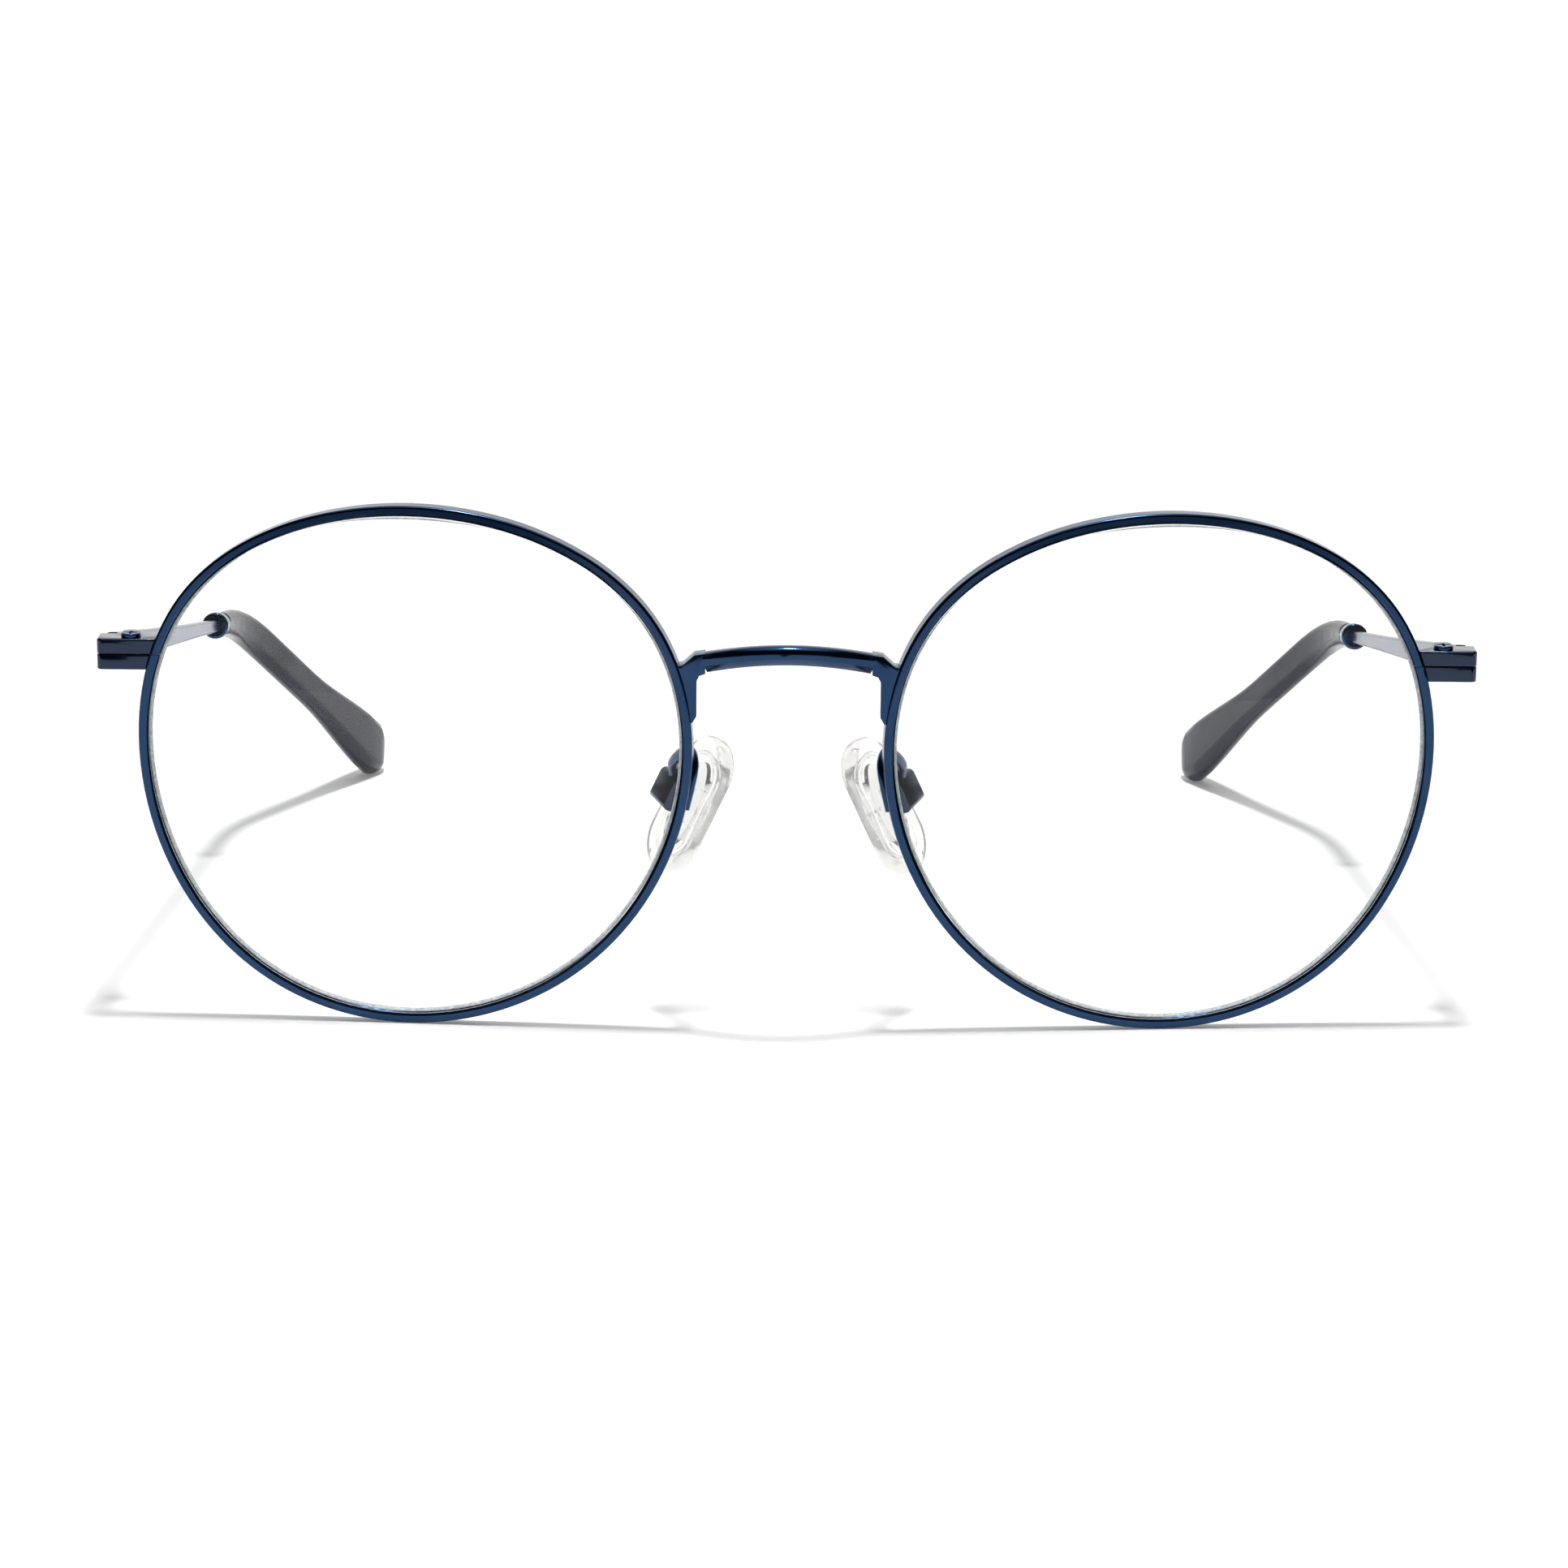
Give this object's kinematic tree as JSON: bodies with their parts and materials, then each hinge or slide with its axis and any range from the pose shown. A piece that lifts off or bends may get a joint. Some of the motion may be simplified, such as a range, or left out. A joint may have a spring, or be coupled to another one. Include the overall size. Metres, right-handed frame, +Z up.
{
  "type": "eyeglasses",
  "caption": "Round wire eyeglasses with clear lenses, an arched bridge, rocking nose pads on wire arms, and flat hinged temples with dark plastic ear tips.",
  "frame": {"origin": "on the ground, below the middle of the bounding box, with the glasses standing open on the rims and the ear tips", "axes": "+X to the wearer's left, +Y back along the temples, +Z up"},
  "size_m": [0.1326, 0.1386, 0.0512],
  "materials": {
    "blue_lacquer": "glossy dark metallic blue lacquer over wire",
    "clear_lens": "clear, polished, uncoloured",
    "navy_plastic": "polished very dark navy acetate",
    "clear_silicone": "clear soft silicone",
    "clear_plastic": "clear hard plate inside the pad",
    "dark_metal": "dark satin metal",
    "screw_steel": "small bright steel screws"
  },
  "bodies": {
    "front": {"bridge": "blue_lacquer", "left_rim": "blue_lacquer", "left_lens": "clear_lens", "left_pad_arm": "blue_lacquer", "left_pad_box": "dark_metal", "left_pad_screw": "screw_steel", "left_upper_block": "blue_lacquer", "left_lower_block": "blue_lacquer", "left_rim_screw": "screw_steel", "left_front_hinge": "blue_lacquer", "left_hinge_screw": "screw_steel", "right_rim": "blue_lacquer", "right_lens": "clear_lens", "right_pad_arm": "blue_lacquer", "right_pad_box": "dark_metal", "right_pad_screw": "screw_steel", "right_upper_block": "blue_lacquer", "right_lower_block": "blue_lacquer", "right_rim_screw": "screw_steel", "right_front_hinge": "blue_lacquer", "right_hinge_screw": "screw_steel"},
    "left_temple_arm": {"left_temple": "blue_lacquer", "left_temple_hinge": "blue_lacquer", "left_tip_collar": "blue_lacquer", "left_temple_tip": "navy_plastic"},
    "left_pad": {"left_nose_pad": "clear_silicone", "left_pad_core": "clear_plastic"},
    "right_temple_arm": {"right_temple": "blue_lacquer", "right_temple_hinge": "blue_lacquer", "right_tip_collar": "blue_lacquer", "right_temple_tip": "navy_plastic"},
    "right_pad": {"right_nose_pad": "clear_silicone", "right_pad_core": "clear_plastic"}
  },
  "joints": [
    {"name": "left_temple_fold", "type": "hinge", "parent": "front", "child": "left_temple_arm", "pos_m": [0.0639, -0.05346, 0.0352], "axis": [0, -0.0611, 0.9981], "range_deg": [0, 84]},
    {"name": "right_temple_fold", "type": "hinge", "parent": "front", "child": "right_temple_arm", "pos_m": [-0.0639, -0.05346, 0.0352], "axis": [0, 0.0611, -0.9981], "range_deg": [0, 80]},
    {"name": "left_pad_rock", "type": "hinge", "parent": "front", "child": "left_pad", "pos_m": [0.01128, -0.05618, 0.02234], "axis": [0.4532, 0.8515, 0.2638], "range_deg": [-8, 8]},
    {"name": "right_pad_rock", "type": "hinge", "parent": "front", "child": "right_pad", "pos_m": [-0.01128, -0.05618, 0.02234], "axis": [-0.4532, 0.8515, 0.2638], "range_deg": [-8, 8]}
  ]
}
